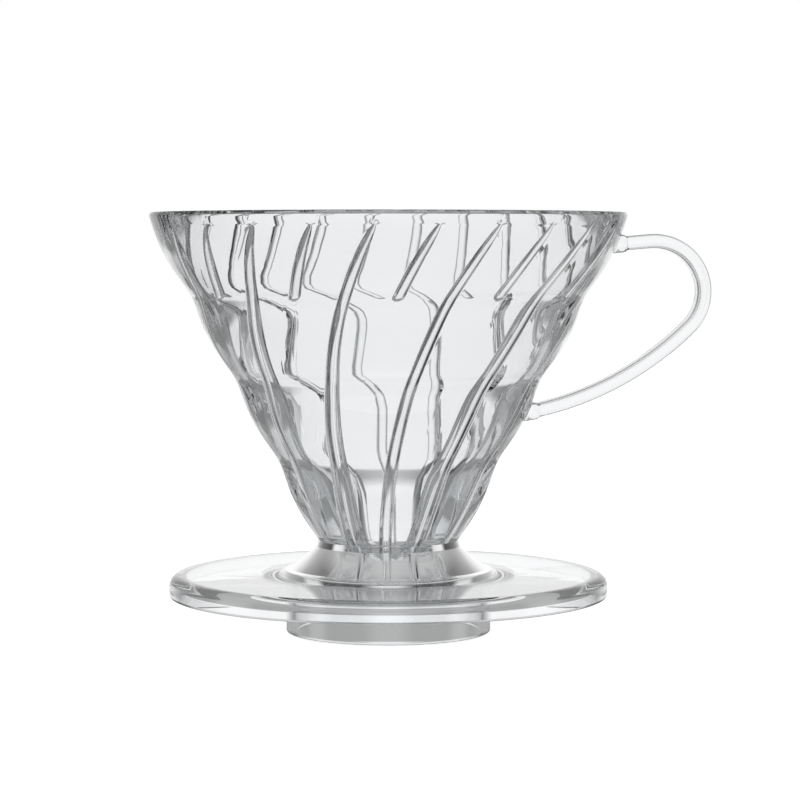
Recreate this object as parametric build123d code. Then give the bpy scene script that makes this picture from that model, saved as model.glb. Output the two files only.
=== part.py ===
from build123d import *
import os
from math import radians, sin, tan

# Pour over dripper in clear moulded resin: a stepped cone with spiral ribs inside, a loop handle,
# a flared neck, a round base plate and the locating ring that sits inside the mug or server.
# Millimetres, +Z up. The origin is on the cone's axis at the bottom of the locating ring,
# and the handle points along +X.

# --- heights above the bottom of the locating ring ---
TOTAL_HEIGHT = 102.0
NECK_TOP = 22.5  # the cone's shoulder stands on the neck here
TIER_HEIGHTS = [19.6, 19.9, 19.9, 20.1]  # from the neck up to the rim
PLATE_UNDERSIDE = 12.2
PLATE_TOP = 14.2
LIP_BOTTOM = 9.0
SPOUT_BOTTOM = 16.0

# --- cone: stepped outside, smooth inside ---
FOOT_RADIUS = 17.1  # outside, where the lowest tier meets the neck
VALLEY_RADII = [26.8, 37.2, 47.6]  # outside, in the grooves between tiers
RIM_RADIUS = 57.9
RIM_LAND = 0.8  # height of the rim's rounded top above its widest point
RIM_TOP_RADIUS = 57.5
RIM_ROUND = 0.35
STEEP_SLOPES = [0.35, 0.36, 0.34, 0.28]  # radius per height, top of each tier
SHALLOW_SLOPES = [0.70, 0.72, 0.76, 0.75]  # the same, bottom of each tier
KNEE_ROUNDS = [42.0, 42.0, 44.0, 46.0]  # the bulge of each tier
VALLEY_ROUND = 19.0  # the grooves between tiers
INNER_FOOT_RADIUS = 14.95  # smooth inner wall at the height of the neck's top
INNER_SLOPE = 0.52
INNER_FOOT_ROUND = 2.0

# --- outlet spout and the spigot that locates the cone in the neck ---
SPIGOT_RADIUS = 15.9
SPIGOT_BOTTOM = 20.8
SPOUT_OUTER_RADIUS = 11.5
SPOUT_SHOULDER = 17.6
SPOUT_ROUND = 1.0
OUTLET_RADIUS = 9.5
OUTLET_TOP = 18.6
OUTLET_ROUND = 1.5

# --- spiral ribs on the inner wall ---
RIB_COUNT = 24  # long and short ribs in turn
FIRST_RIB_ANGLE = -92.7  # azimuth of a long rib's tip
RIB_TIP = 99.4
RIB_START = 100.6  # a little above the tip, where the rib is still inside the wall
RIB_SINK = 0.2  # how deep in the wall the rib's nose starts
SHORT_RIB_END = 82.0
RIB_TURN = 46.0  # degrees of spiral down to the spout, before it straightens
RIB_STRAIGHTEN = 16.0  # degrees taken back towards the spout
CREST_HALF_ANGLE = 30.0  # the crests lie on a 60 degree cone, the shape of the paper filter
CREST_APEX = 5.9
RIB_HALF_WIDTH = 1.25
RIB_TIP_SHARE = 0.45  # width at the start as a share of the full width
RIB_RISE = 12.0  # height over which a rib grows to its full section
RIB_ROOT = 0.9  # how far the root is sunk into the wall
RIB_ROOT_STEP = 0.2  # shortest straight side of a rib's section
LONG_RIB_END = 15.5  # below the spout, so that the spout's end trims the ribs
LONG_RIB_STATIONS = 11
SHORT_RIB_STATIONS = 5

# --- neck: collar and trumpet flare ---
COLLAR_BOTTOM = 21.0
COLLAR_FOOT_RADIUS = 17.6
FLARE_MID = (20.7, 18.0)  # a point on the flare's arc: radius, height
FLARE_RADIUS = 23.9
FLARE_BOTTOM = 15.6
NECK_WALL = 1.4  # inward and down from the outer arc to the inner one
FOOT_WALL = 0.7  # the foot's thickness over the ring's bore
THROAT_DROP = 0.6  # the throat's end below the spigot

# --- base plate ---
PLATE_RADIUS = 53.6
PLATE_EDGE_ROUND = 2.8
LIP_DRAFT = 0.3
LIP_INNER_RADIUS = 50.0
LIP_INNER_ROUND = 0.8
LIP_ROUND = 0.5
SKIRT_RADIUS = 29.5  # soft rise around the neck
SKIRT_ROUND = 12.0
BOSS_TOP = 15.3
HOLE_RADIUS = 25.3  # the neck's foot fills the hole, and the ring is welded below the foot

# --- locating ring ---
RING_RADIUS = 24.9
RING_INNER_RADIUS = 22.6
RING_ROUND = 0.5

# --- handle: one strap in the XZ plane ---
HANDLE_THICKNESS = 3.4
HANDLE_WIDTH = 9.0
HANDLE_ROUND = 1.1
BEND_CENTRE = (64.2, 82.9)
BEND_RADIUS = 12.2
BEND_START_ANGLE = 95.0
BEND_SWEEP = -140.0
LOWER_ARM_RADIUS = 75.0
LOWER_ARM_SWEEP = -37.0
ARM_OVERLAP = 10.0  # how far the upper arm runs in past its bend, into the cone's wall
PAD_GROWTH = 0.45  # how far the pads at the ends stand out from the strap on each side
UPPER_PAD_LENGTH = 4.4  # from the strap's untrimmed end
LOWER_PAD_LENGTH = 6.4


def valley_heights():
    """Heights of the foot, the three grooves and the rim, from the bottom up."""
    heights = [NECK_TOP]
    for step in TIER_HEIGHTS:
        heights.append(heights[-1] + step)
    return heights


def tier_outline():
    """Outer outline of the cone from foot to rim, as (radius, height, rounding)."""
    heights = valley_heights()
    heights[-1] = TOTAL_HEIGHT - RIM_LAND
    radii = [FOOT_RADIUS, *VALLEY_RADII, RIM_RADIUS]
    points = [(radii[0], heights[0], 0)]
    for tier in range(len(TIER_HEIGHTS)):
        low_r, high_r = radii[tier], radii[tier + 1]
        low_z, high_z = heights[tier], heights[tier + 1]
        steep, shallow = STEEP_SLOPES[tier], SHALLOW_SLOPES[tier]
        run = high_r - low_r
        knee_z = low_z + (run - steep * (high_z - low_z)) / (shallow - steep)
        knee_r = low_r + shallow * (knee_z - low_z)
        points.append((knee_r, knee_z, KNEE_ROUNDS[tier]))
        points.append((high_r, high_z, VALLEY_ROUND))
    points[-1] = (RIM_RADIUS, heights[-1], RIM_ROUND)
    points.append((RIM_TOP_RADIUS, TOTAL_HEIGHT, RIM_ROUND))
    return points


def inner_radius(z):
    """Radius of the smooth inner wall, carried on below the neck as one straight cone."""
    return INNER_FOOT_RADIUS + INNER_SLOPE * (z - NECK_TOP)


def spigot_outline():
    """Outside of the cone below its shoulder, from the spout's end up to the shoulder."""
    return [
        (SPOUT_OUTER_RADIUS, SPOUT_BOTTOM, 0),
        (SPOUT_OUTER_RADIUS, SPOUT_SHOULDER, SPOUT_ROUND),
        (SPIGOT_RADIUS, SPIGOT_BOTTOM, 0),
        (SPIGOT_RADIUS, NECK_TOP, 0),
    ]


def turned(points):
    """Solid of revolution about Z from a closed outline of (radius, height, rounding)."""
    places = [(r, z) for r, z, _ in points]
    rounds = [rounding for _, _, rounding in points]
    outline = FilletPolyline(*places, radius=rounds, close=True)
    return revolve(Plane.XZ * make_face(outline), Axis.Z)


def cone_envelope():
    """The space inside the cone's outer surface, filled solid."""
    top = [(0, TOTAL_HEIGHT, 0), (0, SPOUT_BOTTOM, 0)]
    return turned([*spigot_outline(), *tier_outline(), *top])


def cone_wall():
    """The thin wall of the cone, its spigot and its spout, with no ribs."""
    inside = [
        (inner_radius(TOTAL_HEIGHT), TOTAL_HEIGHT, RIM_ROUND),
        (INNER_FOOT_RADIUS, NECK_TOP, INNER_FOOT_ROUND),
        (OUTLET_RADIUS, OUTLET_TOP, OUTLET_ROUND),
        (OUTLET_RADIUS, SPOUT_BOTTOM, 0),
    ]
    return turned([*spigot_outline(), *tier_outline(), *inside])


def rib_section(z, growth, width):
    """One horizontal slice of a rib on the +X side: round nose, straight sides, sunk root."""
    wall = inner_radius(z)
    crest = (z - CREST_APEX) * tan(radians(CREST_HALF_ANGLE))
    start = wall + RIB_SINK
    nose = start - growth * (start - crest)
    root = max(wall + RIB_ROOT, nose + width + RIB_ROOT_STEP)
    outline = Polyline((nose + width, width), (root, width), (root, -width), (nose + width, -width))
    outline += ThreePointArc((nose + width, -width), (nose, 0), (nose + width, width))
    return make_face(outline)


def rib_azimuth(z):
    """Turn of the spiral below the rib's tip, in degrees."""
    depth = (RIB_TIP - z) / (RIB_TIP - NECK_TOP)
    return -RIB_TURN * depth + RIB_STRAIGHTEN * depth**2


def rib(bottom, stations):
    """One spiral rib from its pointed tip down to the given height."""
    slices = []
    for station in range(stations):
        z = RIB_START + (bottom - RIB_START) * station / (stations - 1)
        growth = sin(radians(90 * min(1.0, (RIB_START - z) / RIB_RISE)))
        width = RIB_HALF_WIDTH * (RIB_TIP_SHARE + (1 - RIB_TIP_SHARE) * growth)
        place = Pos(0, 0, z) * Rot(0, 0, rib_azimuth(z))
        slices.append(place * rib_section(z, growth, width))
    return loft(slices)


def cone_body():
    """The cone as one moulding: wall, spout and all the ribs."""
    envelope = cone_envelope()
    long_rib = rib(LONG_RIB_END, LONG_RIB_STATIONS) & envelope
    short_rib = rib(SHORT_RIB_END, SHORT_RIB_STATIONS) & envelope
    ribs = []
    for number in range(RIB_COUNT):
        shape = long_rib if number % 2 == 0 else short_rib
        ribs.append(Rot(0, 0, FIRST_RIB_ANGLE + 360 * number / RIB_COUNT) * shape)
    return cone_wall() + ribs


def neck_flare():
    """Collar and trumpet flare, with a foot that stands in the plate's centre hole."""
    outside = Polyline((FOOT_RADIUS, NECK_TOP), (COLLAR_FOOT_RADIUS, COLLAR_BOTTOM))
    outside += ThreePointArc(outside @ 1, FLARE_MID, (FLARE_RADIUS, FLARE_BOTTOM))
    foot = [
        (FLARE_RADIUS, FLARE_BOTTOM),
        (HOLE_RADIUS, BOSS_TOP),
        (HOLE_RADIUS, PLATE_UNDERSIDE),
        (RING_INNER_RADIUS, PLATE_UNDERSIDE),
        (RING_INNER_RADIUS, FLARE_BOTTOM - FOOT_WALL),
    ]
    throat = (SPIGOT_RADIUS, SPIGOT_BOTTOM - THROAT_DROP)
    outside += Polyline(*foot)
    middle = (FLARE_MID[0] - NECK_WALL, FLARE_MID[1] - NECK_WALL)
    outside += ThreePointArc(foot[-1], middle, throat)
    outside += Polyline(throat, (SPIGOT_RADIUS, NECK_TOP), (FOOT_RADIUS, NECK_TOP))
    return revolve(Plane.XZ * make_face(outside), Axis.Z)


def base_plate():
    """Round plate with a downturned lip and a soft rise around its centre hole."""
    return turned([
        (HOLE_RADIUS, PLATE_UNDERSIDE, 0),
        (LIP_INNER_RADIUS, PLATE_UNDERSIDE, LIP_INNER_ROUND),
        (LIP_INNER_RADIUS + LIP_DRAFT, LIP_BOTTOM, LIP_ROUND),
        (PLATE_RADIUS - LIP_DRAFT, LIP_BOTTOM, LIP_ROUND),
        (PLATE_RADIUS, PLATE_TOP, PLATE_EDGE_ROUND),
        (SKIRT_RADIUS, PLATE_TOP, SKIRT_ROUND),
        (HOLE_RADIUS, BOSS_TOP, 0),
    ])


def locating_ring():
    """Plain ring under the plate that keeps the dripper centred in a mug or server."""
    return turned([
        (RING_INNER_RADIUS, 0, RING_ROUND),
        (RING_RADIUS, 0, RING_ROUND),
        (RING_RADIUS, PLATE_UNDERSIDE, 0),
        (RING_INNER_RADIUS, PLATE_UNDERSIDE, 0),
    ])


def handle_path():
    """Centre line of the handle: upper arm, tight bend and long lower arm, all tangent."""
    bend = CenterArc(BEND_CENTRE, BEND_RADIUS, BEND_START_ANGLE, BEND_SWEEP)
    upper_arm = Line(bend @ 0 - bend % 0 * ARM_OVERLAP, bend @ 0)
    ahead = bend % 1
    centre = bend @ 1 + Vector(ahead.Y, -ahead.X) * LOWER_ARM_RADIUS
    end_angle = BEND_START_ANGLE + BEND_SWEEP
    lower_arm = CenterArc(centre, LOWER_ARM_RADIUS, end_angle, LOWER_ARM_SWEEP)
    return Plane.XZ * Wire([upper_arm, bend, lower_arm])


def strap_section(path, place, growth):
    """Rounded rectangle across the handle's path, larger than the strap by the growth."""
    across = Plane(path @ place, x_dir=(0, 1, 0), z_dir=path % place)
    width = HANDLE_WIDTH + 2 * growth
    return across * RectangleRounded(width, HANDLE_THICKNESS + 2 * growth, HANDLE_ROUND + growth)


def handle():
    """Loop handle with a pad at each end, trimmed to the cone's outer surface."""
    path = handle_path()
    strap = sweep(strap_section(path, 0, 0), path)
    upper_pad = extrude(strap_section(path, 0, PAD_GROWTH), UPPER_PAD_LENGTH)
    lower_pad = extrude(strap_section(path, 1, PAD_GROWTH), -LOWER_PAD_LENGTH)
    return strap + upper_pad + lower_pad - cone_envelope()


os.makedirs("parts", exist_ok=True)
for name, make in {
    "cone_body": cone_body,
    "neck_flare": neck_flare,
    "base_plate": base_plate,
    "locating_ring": locating_ring,
    "handle": handle,
}.items():
    export_step(make(), f"parts/{name}.step")
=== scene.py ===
import math

import bpy
import numpy as np
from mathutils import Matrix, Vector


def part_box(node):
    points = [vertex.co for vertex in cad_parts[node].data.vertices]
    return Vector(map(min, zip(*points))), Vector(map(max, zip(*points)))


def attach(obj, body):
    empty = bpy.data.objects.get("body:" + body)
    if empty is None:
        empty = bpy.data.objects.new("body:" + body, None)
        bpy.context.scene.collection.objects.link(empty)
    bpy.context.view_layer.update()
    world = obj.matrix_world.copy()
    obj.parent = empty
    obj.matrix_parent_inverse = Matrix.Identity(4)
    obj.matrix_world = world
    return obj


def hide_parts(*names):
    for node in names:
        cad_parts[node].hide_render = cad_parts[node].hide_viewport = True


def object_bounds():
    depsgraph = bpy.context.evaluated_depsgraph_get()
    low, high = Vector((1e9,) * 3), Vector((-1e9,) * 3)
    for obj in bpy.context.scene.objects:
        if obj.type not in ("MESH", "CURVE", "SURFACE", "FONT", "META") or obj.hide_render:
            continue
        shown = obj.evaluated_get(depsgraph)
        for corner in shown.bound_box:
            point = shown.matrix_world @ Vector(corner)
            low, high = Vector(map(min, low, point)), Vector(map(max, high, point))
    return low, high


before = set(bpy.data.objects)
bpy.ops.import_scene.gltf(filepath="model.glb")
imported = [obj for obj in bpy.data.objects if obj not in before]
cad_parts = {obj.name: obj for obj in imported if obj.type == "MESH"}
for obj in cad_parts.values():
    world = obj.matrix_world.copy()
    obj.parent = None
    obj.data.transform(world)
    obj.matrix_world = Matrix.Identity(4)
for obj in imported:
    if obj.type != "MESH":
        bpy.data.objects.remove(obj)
cad_low, cad_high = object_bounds()

# Outlines below are in millimetres, as (radius, height, rounding). Meshes are in metres.
MM = 0.001
HEIGHT = cad_high.z / MM
NECK_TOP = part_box("neck_flare")[1].z / MM
SPOUT_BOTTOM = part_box("cone_body")[0].z / MM
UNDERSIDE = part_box("neck_flare")[0].z / MM
HOLE_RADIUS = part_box("neck_flare")[1].x / MM
RING_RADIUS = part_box("locating_ring")[1].x / MM
FINEST_STEP = 0.12  # shortest step along a small rounding
FEWEST_STEPS = 4  # in any rounding
LEVEL = 1e-6  # heights closer than this are the same
GUARD = 0.05  # distance of the extra points beside an edge, which keep its shading tight
WELD = 0.04  # how far a piece reaches into its neighbour, so that no film of air lies in a weld

# --- cone ---
TIER_HEIGHTS = [19.6, 19.9, 19.95, 19.25]
TIER_RADII = [17.1, 26.8, 37.2, 47.6, 57.87]
STEEP_SLOPES = [0.35, 0.36, 0.34, 0.28]  # radius per height, top of each tier
SHALLOW_SLOPES = [0.70, 0.72, 0.76, 0.75]  # the same, bottom of each tier
KNEE_ROUNDS = [42.0, 42.0, 44.0, 46.0]
VALLEY_ROUND = 19.0
RIM_TOP_RADIUS = 57.5
RIM_ROUND = 0.35
RIM_ZONE = 0.8  # height inside the rim that has no ribs
INNER_FOOT_RADIUS = 14.95
INNER_SLOPE = 0.52
INNER_FOOT_ROUND = 2.0
SPIGOT_RADIUS = 15.9
SPIGOT_BOTTOM = 20.8
SPOUT_OUTER_RADIUS = 11.5
SPOUT_SHOULDER = 17.6
SPOUT_ROUND = 1.0
OUTLET_RADIUS = 9.5
OUTLET_TOP = 18.6
OUTLET_ROUND = 1.5

# --- spiral ribs ---
PAIRS = 12  # each a long rib and a short rib
FIRST_RIB_ANGLE = math.radians(-92.7)
RIB_TIP = 99.4
RIB_START = 100.6  # where the rib is still inside the wall
RIB_SINK = 0.2
SHORT_RIB_END = 82.0
RIB_TURN = 46.0
RIB_STRAIGHTEN = 16.0
CREST_APEX = 5.9
CREST_SLOPE = math.tan(math.radians(30))
RIB_HALF_WIDTH = 1.25
RIB_FILLET = 0.25
ROOT_SHARE = 0.25  # of the wall between two long ribs, for half of a short rib where the wall is narrow
RIB_RISE = 12.0
RIB_END_ROUND = 1.6
NOSE_STEPS = 4
FILLET_STEPS = 3
GAP_STEPS = 3
INNER_TOP_RADIUS = INNER_FOOT_RADIUS + INNER_SLOPE * (HEIGHT - NECK_TOP)
# Rows of the inner wall: each height, and the longest step from there down to the next height.
INNER_ROWS = [
    (HEIGHT - RIM_ZONE, 1.0), (RIB_TIP, 0.45), (90.0, 1.2), (SHORT_RIB_END + RIB_END_ROUND, 0.16),
    (SHORT_RIB_END, 1.4), (NECK_TOP + 1, 0.5), (SPOUT_BOTTOM, 0),
]

# --- neck, plate and ring ---
COLLAR_BOTTOM = 21.0
COLLAR_FOOT_RADIUS = 17.6
COLLAR_ROUND = 0.1
FLARE_MID = (20.7, 18.0)
FLARE_RADIUS = 23.9
FLARE_BOTTOM = 15.6
FLARE_STEPS = 16
NECK_WALL = 1.4
FOOT_WALL = 0.7
THROAT_DROP = 0.6  # from the spigot's end to the top of the neck's open space
NECK_COLUMNS = 192
PLATE_RADIUS = 53.6
PLATE_EDGE_ROUND = 2.8
PLATE_TOP = 14.2
LIP_BOTTOM = 9.0
LIP_DRAFT = 0.3
LIP_INNER_RADIUS = 50.0
LIP_INNER_ROUND = 0.8
LIP_ROUND = 0.5
SKIRT_RADIUS = 29.5
SKIRT_ROUND = 12.0
BOSS_TOP = 15.3
PLATE_COLUMNS = 256
RING_INNER_RADIUS = 22.6
RING_ROUND = 0.5

# --- handle ---
HANDLE_THICKNESS = 3.4
HANDLE_WIDTH = 9.0
HANDLE_ROUND = 1.6
BEND_CENTRE = (64.2, 82.9)
BEND_RADIUS = 12.2
BEND_START_ANGLE = 95.0
BEND_SWEEP = -140.0
LOWER_ARM_RADIUS = 75.0
LOWER_ARM_SWEEP = -37.0
PAD_GROWTH = 0.45
PAD_REACH = 2.0
PAD_BLEND = 0.6
UPPER_STEP = 0.5  # spacing of the strap's sections, in the bend and the upper arm
LOWER_STEP = 0.8
UPPER_ARM_STEPS = 20
TRIM_REACH = 14.0  # how far a section looks for the wall
TRIM_HALVINGS = 30
END_ROWS = 4
END_MIDDLE = 0.2  # of a row, left for the face in the middle of an end

# --- camera and studio ---
CAMERA_DISTANCE = 640.0
CAMERA_HEIGHT = 94.7
CAMERA_SIDE = 2.84
CAMERA_PITCH = 3.42
CAMERA_FOCAL = 2634.0 / 800  # in widths of the picture
FLOOR_HEIGHT = -0.3  # just under the ring
FLOOR_REACH = 1600.0  # from the middle to each side
FLOOR_GLOW = 0.9
# Painted shade: a dark, weakly glowing disc, seen only through the resin, stands in for the shadowed table
# top near the object.
SHADE_SHEET_HEIGHT = -0.15
SHADE_SHEET_RADIUS = 62.0
SHADE_SHEET_BACK = 107.0  # how far its edge lies behind the cone's axis
SHADE_SHEET_GLOW = 0.4
SHADE_SHEET_SIDES = 64
# Brightness of the studio. Above and below the horizon it goes by elevation in degrees, one profile
# towards the backdrop (+Y) and one for the rest of the room. In the band along the horizon it goes by
# how many degrees a direction is turned away from the backdrop.
TOWARDS_BACKDROP = [
    (-90, 0.8), (-60, 0.6), (-45, 0.35), (-32, 0.15), (-20, 0.22), (-12, 0.22), (24, 0.5), (34, 0.34),
    (45, 0.2), (65, 0.25), (90, 0.5),
]
REST_OF_ROOM = [
    (-90, 0.8), (-78, 0.5), (-66, 0.04), (-46, 0.04), (-36, 0.2), (-28, 0.6), (-14, 0.78), (10, 0.42),
    (30, 0.48), (50, 0.6), (90, 0.5),
]
REST_SHARE = [(0, 0), (40, 0), (65, 1), (180, 1)]
ALONG_HORIZON = [
    (0, 1.0), (14, 0.98), (24, 0.76), (35, 0.4), (48, 0.2), (62, 0.12), (74, 0.08), (82, 0.85), (90, 0.9),
    (98, 0.85), (106, 0.05), (150, 0.03), (168, 0.85), (180, 0.9),
]
HORIZON_SHARE = [(-90, 0), (-12, 0), (-9.5, 1), (18, 1), (30, 0), (90, 0)]


def unit(vector):
    return vector / np.linalg.norm(vector)


def corner_arc(before, corner, after, rounding, turn_step):
    """Points of the arc that rounds one corner of an outline."""
    into, away = unit(corner - before), unit(after - corner)
    turn = math.acos(np.clip(into @ away, -1, 1))
    centre = corner + unit(away - into) * rounding / math.cos(turn / 2)
    reach = rounding * math.tan(turn / 2)
    start, stop = corner - into * reach - centre, corner + away * reach - centre
    fine = math.ceil(turn * rounding / FINEST_STEP)
    steps = max(FEWEST_STEPS, min(fine, math.ceil(math.degrees(turn) / turn_step)))
    angles = [turn * k / steps for k in range(steps + 1)]
    return [centre + (start * math.sin(turn - a) + stop * math.sin(a)) / math.sin(turn) for a in angles]


def straight(start, stop, longest, guard):
    """Points between two places. The guards, close to both, keep smooth shading flat between them."""
    length = np.linalg.norm(stop - start)
    pieces = max(1, math.ceil(length / longest))
    shares = [k / pieces for k in range(1, pieces)]
    if guard and length > 4 * guard:
        shares = [guard / length, *shares, 1 - guard / length]
    return [start + (stop - start) * share for share in shares]


def rounded(points, turn_step=3.0, longest=2.0, closed=False, guard=0.0):
    """Outline through (radius, height, rounding) corners, with arcs at the rounded ones."""
    corners = [np.array(p[:2], float) for p in points]
    count = len(corners)
    arcs = []
    for i, corner in enumerate(corners):
        if points[i][2] <= 0 or (not closed and i in (0, count - 1)):
            arcs.append([corner])
        else:
            after = corners[(i + 1) % count]
            arcs.append(corner_arc(corners[i - 1], corner, after, points[i][2], turn_step))
    line = []
    for arc, following in zip(arcs, arcs[1:] + arcs[:1]):
        line += arc + straight(arc[-1], following[0], longest, guard)
    if not closed:
        line = line[: len(line) - len(straight(arcs[-1][-1], arcs[0][0], longest, guard))]
    return np.array(line)


def arc_points(start, middle, stop, count):
    """Points on the arc through three places, as (radius, height, no rounding)."""
    (ax, ay), (bx, by), (cx, cy) = start, middle, stop
    d = 2 * (ax * (by - cy) + bx * (cy - ay) + cx * (ay - by))
    a2, b2, c2 = ax * ax + ay * ay, bx * bx + by * by, cx * cx + cy * cy
    ox = (a2 * (by - cy) + b2 * (cy - ay) + c2 * (ay - by)) / d
    oy = (a2 * (cx - bx) + b2 * (ax - cx) + c2 * (bx - ax)) / d
    radius = math.hypot(ax - ox, ay - oy)
    first, last = math.atan2(ay - oy, ax - ox), math.atan2(cy - oy, cx - ox)
    angles = [first + (last - first) * k / count for k in range(count + 1)]
    return [(ox + radius * math.cos(t), oy + radius * math.sin(t), 0) for t in angles]


def new_piece(name, vertices, faces):
    """Mesh object from points in millimetres, smooth shaded."""
    mesh = bpy.data.meshes.new(name)
    mesh.from_pydata((np.asarray(vertices) * MM).tolist(), [], faces)
    mesh.validate()
    mesh.shade_smooth()
    piece = bpy.data.objects.new(name, mesh)
    bpy.context.scene.collection.objects.link(piece)
    return piece


def ring_faces(rows, columns):
    """Quads of a grid that closes on itself both ways, first round a ring and then row to row."""
    faces = []
    for row in range(rows):
        below, above = row * columns, (row + 1) % rows * columns
        for column in range(columns):
            beside = (column + 1) % columns
            faces.append((below + column, below + beside, above + beside, above + column))
    return faces


def lathe(name, points, columns, **how):
    """Closed ring turned about the Z axis."""
    outline = rounded(points, closed=True, guard=GUARD, **how)
    angles = np.arange(columns) * 2 * math.pi / columns
    radius = outline[:, 0][:, None]
    height = np.repeat(outline[:, 1][:, None], columns, axis=1)
    grid = np.stack([radius * np.cos(angles), radius * np.sin(angles), height], axis=2)
    return new_piece(name, grid.reshape(-1, 3), ring_faces(len(outline), columns))


def tier_outline():
    """Outer outline of the cone from foot to rim."""
    points = [(TIER_RADII[0], NECK_TOP, 0)]
    low_z = NECK_TOP
    for tier, step in enumerate(TIER_HEIGHTS):
        low_r, high_r = TIER_RADII[tier], TIER_RADII[tier + 1]
        steep, shallow = STEEP_SLOPES[tier], SHALLOW_SLOPES[tier]
        knee = (high_r - low_r - steep * step) / (shallow - steep)
        points.append((low_r + shallow * knee, low_z + knee, KNEE_ROUNDS[tier]))
        low_z += step
        points.append((high_r, low_z, VALLEY_ROUND))
    points[-1] = (high_r, low_z, RIM_ROUND)
    points.append((RIM_TOP_RADIUS, HEIGHT, RIM_ROUND))
    return points


def inner_outline():
    """Smooth inner wall from the rim's inner edge down to the spout's end."""
    return [
        (INNER_TOP_RADIUS, HEIGHT, RIM_ROUND),
        (INNER_FOOT_RADIUS, NECK_TOP, INNER_FOOT_ROUND),
        (OUTLET_RADIUS, OUTLET_TOP, OUTLET_ROUND),
        (OUTLET_RADIUS, SPOUT_BOTTOM, 0),
    ]


def spigot_outline():
    """Outside of the cone below its shoulder, from the spout's end up to the shoulder."""
    spigot = SPIGOT_RADIUS + WELD
    shoulder = NECK_TOP - WELD
    return [
        (SPOUT_OUTER_RADIUS, SPOUT_BOTTOM, 0),
        (SPOUT_OUTER_RADIUS, SPOUT_SHOULDER, SPOUT_ROUND),
        (spigot, SPIGOT_BOTTOM, 0),
        (spigot, shoulder, 0),
        (TIER_RADII[0], shoulder, 0),
    ]


def rib_heights():
    """Heights of the rows down the inner wall, close together where a rib's shape changes."""
    rows = []
    for (start, step), (stop, _) in zip(INNER_ROWS, INNER_ROWS[1:]):
        pieces = max(1, math.ceil((start - stop) / step))
        rows += [start + (stop - start) * k / pieces for k in range(pieces)]
    return np.array(rows + [SPOUT_BOTTOM])


def rib_height(z, radius):
    """How far a long rib stands out of the wall: nothing at its tip, then up to the crests' cone."""
    full = radius - (z - CREST_APEX) * CREST_SLOPE
    growth = math.sin(math.pi / 2 * min(1, max(0, (RIB_START - z) / RIB_RISE)))
    return max(0, growth * (full + RIB_SINK) - RIB_SINK)


def end_growth(z):
    """Rounds off the lower end of a short rib."""
    above = min(1, max(0, (z - SHORT_RIB_END) / RIB_END_ROUND))
    return math.sqrt(1 - (1 - above) ** 2)


def spiral(z):
    """How far a rib has turned below its tip, in radians."""
    depth = (RIB_TIP - z) / (RIB_TIP - NECK_TOP)
    return math.radians(-RIB_TURN * depth + RIB_STRAIGHTEN * depth * abs(depth))


def rib_half(height, root):
    """Half of a rib's section, from crest to root, as (offset across, height above the wall)."""
    half = RIB_HALF_WIDTH
    fullest = math.acos(max(0, 1 - height / half))
    nose = [(half * math.sin(fullest * k / NOSE_STEPS),
             height - half + half * math.cos(fullest * k / NOSE_STEPS)) for k in range(NOSE_STEPS + 1)]
    edge, foot = nose[-1]
    fillet = min(RIB_FILLET, max(0, foot), root - edge)
    turns = [math.pi / 2 * k / FILLET_STEPS for k in range(FILLET_STEPS + 1)]
    return nose + [(edge + fillet * (1 - math.cos(t)), fillet * (1 - math.sin(t))) for t in turns]


def wall_section(height, root):
    """Section of a rib from root over crest to root, or as many points on the wall where it has ended."""
    if height > 0:
        half = rib_half(height, root)
        return [(-across, up) for across, up in reversed(half)] + half[1:]
    steps = NOSE_STEPS + FILLET_STEPS + 1
    return [(root * k / steps, 0) for k in range(-steps, steps + 1)]


def inner_row(z, radius):
    """One turn of the inner wall with its ribs: x, y and the plain angle of each column."""
    full = rib_height(z, radius)
    pair_width = 2 * math.pi * radius / PAIRS
    long_root = RIB_HALF_WIDTH + RIB_FILLET
    short_root = min(long_root, ROOT_SHARE * (pair_width - 2 * long_root))
    sections = [wall_section(full, long_root), wall_section(full * end_growth(z), short_root)]
    xs, ys, plain = [], [], []
    step = math.pi / PAIRS
    for number in range(2 * PAIRS):
        centre = FIRST_RIB_ANGLE + spiral(z) + number * step
        section = sections[number % 2]
        reach, next_reach = (math.asin(sections[k % 2][-1][0] / radius) for k in (number, number + 1))
        for k, (across, up) in enumerate(section):
            outward = math.sqrt(radius**2 - across**2) - up
            xs.append(outward * math.cos(centre) - across * math.sin(centre))
            ys.append(outward * math.sin(centre) + across * math.cos(centre))
            plain.append(centre + reach * (2 * k / (len(section) - 1) - 1))
        start, stop = centre + reach, centre + step - next_reach
        guard = GUARD / radius / (stop - start)
        shares = [guard] + [k / (GAP_STEPS + 1) for k in range(1, GAP_STEPS + 1)] + [1 - guard]
        for angle in (start + (stop - start) * share for share in shares):
            xs.append(radius * math.cos(angle))
            ys.append(radius * math.sin(angle))
            plain.append(angle)
    return xs, ys, plain


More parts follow.
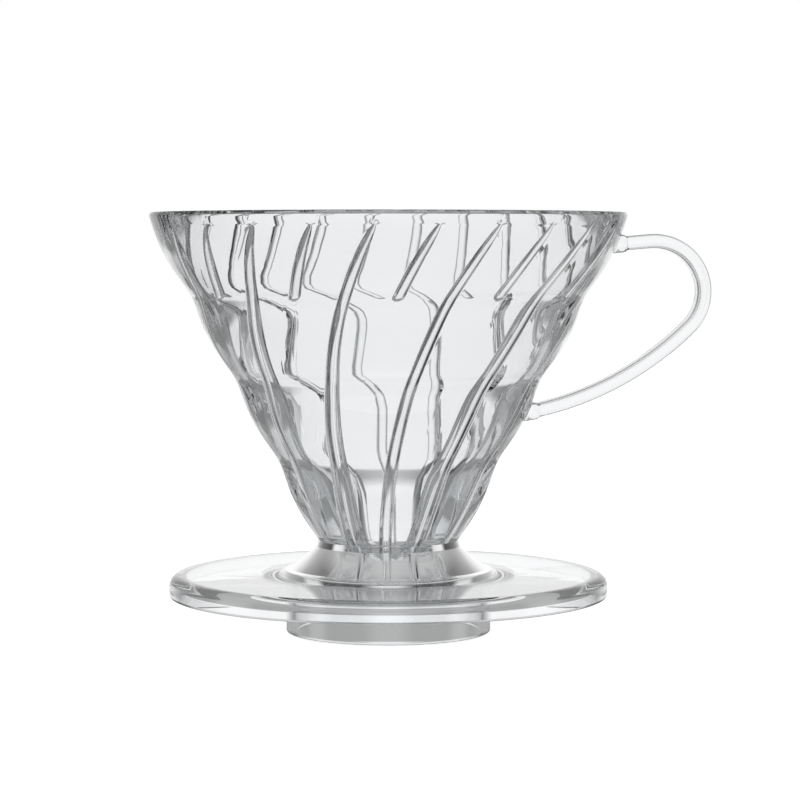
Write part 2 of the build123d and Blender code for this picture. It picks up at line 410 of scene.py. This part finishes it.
def build_cone():
    """The cone: tiered outside, smooth ribbed inside, spigot and spout, as one closed mesh."""
    outside = rounded([*spigot_outline(), *tier_outline(), *inner_outline()[:2]], longest=4.0)
    outside = outside[: int(np.argmax(outside[:, 1] >= HEIGHT - LEVEL)) + 1]
    inner = rounded([tier_outline()[-1], *inner_outline()], longest=0.4)
    inner = inner[np.argmax(inner[:, 0] < INNER_TOP_RADIUS + RIM_ROUND):]
    wall_z, wall_r = inner[::-1, 1], inner[::-1, 0]

    def wall(z):
        return float(np.interp(z, wall_z, wall_r))

    def plain_row(z, radius):
        angles = inner_row(max(z, SPOUT_BOTTOM), wall(z))[2]
        return [(radius * math.cos(a), radius * math.sin(a), z) for a in angles]

    grid = [plain_row(z, radius) for radius, z in outside]
    grid += [plain_row(z, radius) for radius, z in inner if z > HEIGHT - RIM_ZONE]
    for z in rib_heights():
        xs, ys, _ = inner_row(z, wall(z))
        grid.append([(x, y, z) for x, y in zip(xs, ys)])
    points = [point for row in grid for point in row]
    return new_piece("cone", points, ring_faces(len(grid), len(grid[0])))


def build_neck():
    """Collar and trumpet flare, a shell whose foot stands in the plate's centre hole."""
    collar_foot = (COLLAR_FOOT_RADIUS, COLLAR_BOTTOM)
    flare = arc_points(collar_foot, FLARE_MID, (FLARE_RADIUS, FLARE_BOTTOM), FLARE_STEPS)
    foot_radius = HOLE_RADIUS + WELD
    throat = (SPIGOT_RADIUS, SPIGOT_BOTTOM - THROAT_DROP)
    middle = (FLARE_MID[0] - NECK_WALL, FLARE_MID[1] - NECK_WALL)
    inside = arc_points((RING_INNER_RADIUS, FLARE_BOTTOM - FOOT_WALL), middle, throat, FLARE_STEPS)
    outline = [
        (TIER_RADII[0], NECK_TOP, COLLAR_ROUND),
        *flare,
        (HOLE_RADIUS, BOSS_TOP, 0),
        (foot_radius, BOSS_TOP - WELD, 0),
        (foot_radius, UNDERSIDE - WELD, 0),
        (RING_INNER_RADIUS, UNDERSIDE - WELD, 0),
        *inside,
        (SPIGOT_RADIUS, NECK_TOP, 0),
    ]
    return lathe("neck", outline, NECK_COLUMNS, longest=1.0)


def build_plate():
    """Round plate with a downturned lip and a soft rise around its centre hole."""
    outline = [
        (HOLE_RADIUS, UNDERSIDE, 0),
        (LIP_INNER_RADIUS, UNDERSIDE, LIP_INNER_ROUND),
        (LIP_INNER_RADIUS + LIP_DRAFT, LIP_BOTTOM, LIP_ROUND),
        (PLATE_RADIUS - LIP_DRAFT, LIP_BOTTOM, LIP_ROUND),
        (PLATE_RADIUS, PLATE_TOP, PLATE_EDGE_ROUND),
        (SKIRT_RADIUS, PLATE_TOP, SKIRT_ROUND),
        (HOLE_RADIUS, BOSS_TOP, 0),
    ]
    return lathe("plate", outline, PLATE_COLUMNS, turn_step=8)


def build_ring():
    """Plain ring under the plate."""
    outline = [
        (RING_INNER_RADIUS, 0, RING_ROUND),
        (RING_RADIUS, 0, RING_ROUND),
        (RING_RADIUS, UNDERSIDE + WELD, 0),
        (RING_INNER_RADIUS, UNDERSIDE + WELD, 0),
    ]
    return lathe("ring", outline, NECK_COLUMNS, turn_step=15)


def cone_radius(z):
    """Outer radius of the cone at a height between the neck and the rim."""
    outline = rounded(tier_outline()[:-1])
    return float(np.interp(z, outline[:, 1], outline[:, 0]))


def handle_line():
    """Centre line of the handle in the XZ plane: points and headings, evenly spaced."""
    radius, centre = BEND_RADIUS, np.array(BEND_CENTRE)
    line = []

    def along_arc(middle, size, first, sweep, spacing):
        steps = math.ceil(abs(sweep) * size / spacing)
        for k in range(steps + 1):
            angle = first + sweep * k / steps
            outward = np.array([math.cos(angle), math.sin(angle)])
            line.append((middle + outward * size, np.array([outward[1], -outward[0]])))

    first, sweep = math.radians(BEND_START_ANGLE), math.radians(BEND_SWEEP)
    along_arc(centre, radius, first, sweep, UPPER_STEP)
    corner, heading = line[-1]
    lower = corner + np.array([heading[1], -heading[0]]) * LOWER_ARM_RADIUS
    line.pop()
    along_arc(lower, LOWER_ARM_RADIUS, first + sweep, math.radians(LOWER_ARM_SWEEP), LOWER_STEP)
    start, heading = line[0]
    arm = [(start - heading * k * UPPER_STEP, heading) for k in range(UPPER_ARM_STEPS, 0, -1)]
    return arm + line


def strap_section(growth):
    """Rounded rectangle across the strap, as (along Y, across the strap) points."""
    half_w, half_t = HANDLE_WIDTH / 2 + growth, HANDLE_THICKNESS / 2 + growth
    corner = HANDLE_ROUND + growth
    box = [(half_w, half_t, corner), (-half_w, half_t, corner),
           (-half_w, -half_t, corner), (half_w, -half_t, corner)]
    return rounded(box, turn_step=12, longest=0.7, closed=True)


def build_handle():
    """The strap swept along its line, with a pad at each end that follows the cone's wall."""
    rings = []
    for place, heading in handle_line():
        across = np.array([heading[1], -heading[0]])
        clear = place[0] - cone_radius(place[1])
        growth = PAD_GROWTH * min(1, max(0, (PAD_REACH - clear) / PAD_BLEND))
        rings.append([(place[0] + across[0] * t, -w, place[1] + across[1] * t)
                      for w, t in strap_section(growth)])
    rings = np.array(rings)
    columns = rings.shape[1]

    def inside(point):
        return math.hypot(point[0], point[1]) < cone_radius(point[2]) - WELD

    def on_wall(outer, direction):
        """Where a line from a point outside the cone meets its wall."""
        near, far = outer, outer + direction * TRIM_REACH
        for _ in range(TRIM_HALVINGS):
            middle = (near + far) / 2
            near, far = (near, middle) if inside(middle) else (middle, far)
        return near

    def end_rows(ring, direction):
        """Rows from the last whole section to the wall, then over the end face to its middle."""
        ends = np.array([on_wall(point, direction) for point in ring])
        rows = [ring + (ends - ring) * k / END_ROWS for k in range(1, END_ROWS + 1)]
        centre = ring.mean(axis=0)
        for k in range(1, END_ROWS + 1):
            shrunk = centre + (ring - centre) * (1 - k / (END_ROWS + END_MIDDLE))
            rows.append(np.array([on_wall(point, direction) for point in shrunk]))
        return rows

    whole = [k for k, ring in enumerate(rings) if not any(inside(point) for point in ring)]
    first, last = whole[0], whole[-1]
    head = end_rows(rings[first], unit((rings[0] - rings[first]).mean(axis=0)))
    tail = end_rows(rings[last], unit((rings[-1] - rings[last]).mean(axis=0)))
    body = head[::-1] + list(rings[first:last + 1]) + tail
    faces = ring_faces(len(body), columns)[:-columns]
    faces.append(tuple(reversed(range(columns))))
    faces.append(tuple((len(body) - 1) * columns + c for c in range(columns)))
    return new_piece("loop_handle", np.concatenate(body), faces)


def shader(name):
    """New material with an empty node tree, and its tree."""
    material = bpy.data.materials.new(name)
    material.use_nodes = True
    material.node_tree.nodes.clear()
    return material, material.node_tree


def node(tree, kind, inputs=None, **settings):
    """Adds a node, sets its properties, and sets or links its inputs."""
    made = tree.nodes.new(kind)
    for key, value in settings.items():
        setattr(made, key, value)
    for key, value in (inputs or {}).items():
        if isinstance(value, bpy.types.NodeSocket):
            tree.links.new(value, made.inputs[key])
        else:
            made.inputs[key].default_value = value
    return made


def clear_resin():
    """Polished clear resin with faint haze and flow waviness, a little cool in colour."""
    material, tree = shader("clear_resin")
    place = node(tree, "ShaderNodeTexCoord").outputs["Object"]
    haze = node(tree, "ShaderNodeTexNoise", {"Vector": place, "Scale": 180.0, "Detail": 4.0})
    rough = node(tree, "ShaderNodeMapRange", {"Value": haze.outputs["Fac"], "To Min": 0.0, "To Max": 0.02})
    flow = node(tree, "ShaderNodeTexNoise", {"Vector": place, "Scale": 45.0, "Detail": 2.0})
    bump = node(tree, "ShaderNodeBump", {"Height": flow.outputs["Fac"], "Strength": 0.03, "Distance": 0.001})
    skin = node(tree, "ShaderNodeBsdfPrincipled", {
        "Base Color": (0.986, 0.993, 0.999, 1),
        "Roughness": rough.outputs["Result"],
        "IOR": 1.57,
        "Transmission Weight": 1.0,
        "Normal": bump.outputs["Normal"],
    })
    tint = node(tree, "ShaderNodeVolumeAbsorption", {"Color": (0.64, 0.67, 0.69, 1), "Density": 10.0})
    out = node(tree, "ShaderNodeOutputMaterial", {"Surface": skin.outputs["BSDF"]})
    tree.links.new(tint.outputs["Volume"], out.inputs["Volume"])
    return material


def stage_sheet(name, corners, skin, grain, tones):
    """Flat sheet that belongs to the stage. Its tone varies with a fine grain between two greys."""
    mesh = bpy.data.meshes.new(name)
    mesh.from_pydata([(x * MM, y * MM, z * MM) for x, y, z in corners], [], [tuple(range(len(corners)))])
    sheet = bpy.data.objects.new(name, mesh)
    bpy.context.scene.collection.objects.link(sheet)
    material, tree = shader(name + "_skin")
    place = node(tree, "ShaderNodeTexCoord").outputs["Object"]
    noise = node(tree, "ShaderNodeTexNoise", {"Vector": place, "Scale": grain})
    tone = node(tree, "ShaderNodeMapRange", {
        "Value": noise.outputs["Fac"], "To Min": tones[0], "To Max": tones[1]})
    surface = node(tree, "ShaderNodeBsdfPrincipled", {
        "Base Color": tone.outputs["Result"], "Emission Color": (1, 1, 1, 1), **skin})
    node(tree, "ShaderNodeOutputMaterial", {"Surface": surface.outputs["BSDF"]})
    mesh.materials.append(material)
    return sheet


def pale_floor():
    """Pale floor that glows evenly. The resin shows the studio's own light in its place."""
    reach, z = FLOOR_REACH, FLOOR_HEIGHT
    corners = [(-reach, -reach, z), (reach, -reach, z), (reach, reach, z), (-reach, reach, z)]
    skin = {"Roughness": 0.7, "Specular IOR Level": 0.2, "Emission Strength": FLOOR_GLOW}
    floor = stage_sheet("floor", corners, skin, 300.0, (0.90, 0.93))
    floor.visible_transmission = False
    floor.visible_glossy = False


def painted_shade_table():
    """Round dark glowing disc under and behind the object, seen only in its resin: painted shade that stands
    in for the shadowed table top near the object.
    """
    middle = SHADE_SHEET_BACK - SHADE_SHEET_RADIUS
    turns = [2 * math.pi * k / SHADE_SHEET_SIDES for k in range(SHADE_SHEET_SIDES)]
    corners = [(SHADE_SHEET_RADIUS * math.cos(t), middle + SHADE_SHEET_RADIUS * math.sin(t), SHADE_SHEET_HEIGHT) for t in turns]
    skin = {"Roughness": 0.8, "Specular IOR Level": 0.1, "Emission Strength": SHADE_SHEET_GLOW}
    # Painted shade: near-black tones plus a weak glow give the grey of the shadowed table top.
    shade_sheet = stage_sheet("painted_shade_sheet", corners, skin, 60.0, (0.03, 0.05))
    shade_sheet.visible_camera = False
    shade_sheet.visible_diffuse = False


def ramp(tree, value, stops):
    """Colour ramp through (position from 0 to 1, level) stops."""
    made = node(tree, "ShaderNodeValToRGB", {"Fac": value})
    elements = made.color_ramp.elements
    while len(elements) < len(stops):
        elements.new(0.5)
    for element, (position, level) in zip(elements, sorted(stops)):
        element.position = position
        element.color = (level, level, level, 1)
    return made.outputs["Color"]


def studio():
    """Soft light from all round, brighter and darker by direction. The camera sees it as plain white."""
    world = bpy.data.worlds.new("studio")
    bpy.context.scene.world = world
    world.use_nodes = True
    tree = world.node_tree
    tree.nodes.clear()
    direction = node(tree, "ShaderNodeTexCoord").outputs["Generated"]
    part = node(tree, "ShaderNodeSeparateXYZ", {"Vector": direction})
    upward = node(tree, "ShaderNodeMath", {0: part.outputs["Z"], 1: 0.5, 2: 0.5}, operation="MULTIPLY_ADD")
    azimuth = node(tree, "ShaderNodeMath", {0: part.outputs["X"], 1: part.outputs["Y"]}, operation="ARCTAN2")
    turn = node(tree, "ShaderNodeMath", {0: azimuth.outputs[0]}, operation="ABSOLUTE")
    turned = node(tree, "ShaderNodeMath", {0: turn.outputs[0], 1: math.pi}, operation="DIVIDE")
    height, away = upward.outputs[0], turned.outputs[0]
    profiles = {
        name: ramp(tree, height, [(elevation_place(e), level) for e, level in stops])
        for name, stops in (("front", TOWARDS_BACKDROP), ("rest", REST_OF_ROOM), ("band", HORIZON_SHARE))
    }
    rest_share = ramp(tree, away, [(angle / 180, share) for angle, share in REST_SHARE])
    horizon = ramp(tree, away, [(angle / 180, level) for angle, level in ALONG_HORIZON])
    general = node(tree, "ShaderNodeMix", {0: rest_share, 2: profiles["front"], 3: profiles["rest"]})
    level = node(tree, "ShaderNodeMix", {0: profiles["band"], 2: general.outputs[0], 3: horizon})
    ray = node(tree, "ShaderNodeLightPath").outputs["Is Camera Ray"]
    seen = node(tree, "ShaderNodeMix", {0: ray, 2: level.outputs[0], 3: 1.0})
    light = node(tree, "ShaderNodeBackground", {"Color": (1, 1, 1, 1), "Strength": seen.outputs[0]})
    node(tree, "ShaderNodeOutputWorld", {"Surface": light.outputs[0]})


def elevation_place(elevation):
    """Where a direction's elevation in degrees falls on the studio's ramps, from 0 to 1."""
    return (math.sin(math.radians(elevation)) + 1) / 2


def camera():
    """Long lens in front of the object, just below the height of the rim and tilted a little down."""
    data = bpy.data.cameras.new("camera")
    data.sensor_width = 36.0
    data.lens = CAMERA_FOCAL * data.sensor_width
    data.clip_start = 0.01
    data.clip_end = 20
    shot = bpy.data.objects.new("camera", data)
    shot.location = (CAMERA_SIDE * MM, -CAMERA_DISTANCE * MM, CAMERA_HEIGHT * MM)
    shot.rotation_euler = (math.radians(90 - CAMERA_PITCH), 0, 0)
    bpy.context.scene.collection.objects.link(shot)
    bpy.context.scene.camera = shot


resin = clear_resin()
pieces = {
    "cone_body": build_cone(),
    "neck_flare": build_neck(),
    "base_plate": build_plate(),
    "locating_ring": build_ring(),
    "handle": build_handle(),
}
for name, piece in pieces.items():
    piece.data.materials.append(resin)
    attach(piece, "root")
    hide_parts(name)

pale_floor()
painted_shade_table()
studio()
camera()
scene = bpy.context.scene
scene.view_settings.view_transform = "Standard"
scene.cycles.max_bounces = 32
scene.cycles.transmission_bounces = 32
scene.cycles.glossy_bounces = 16
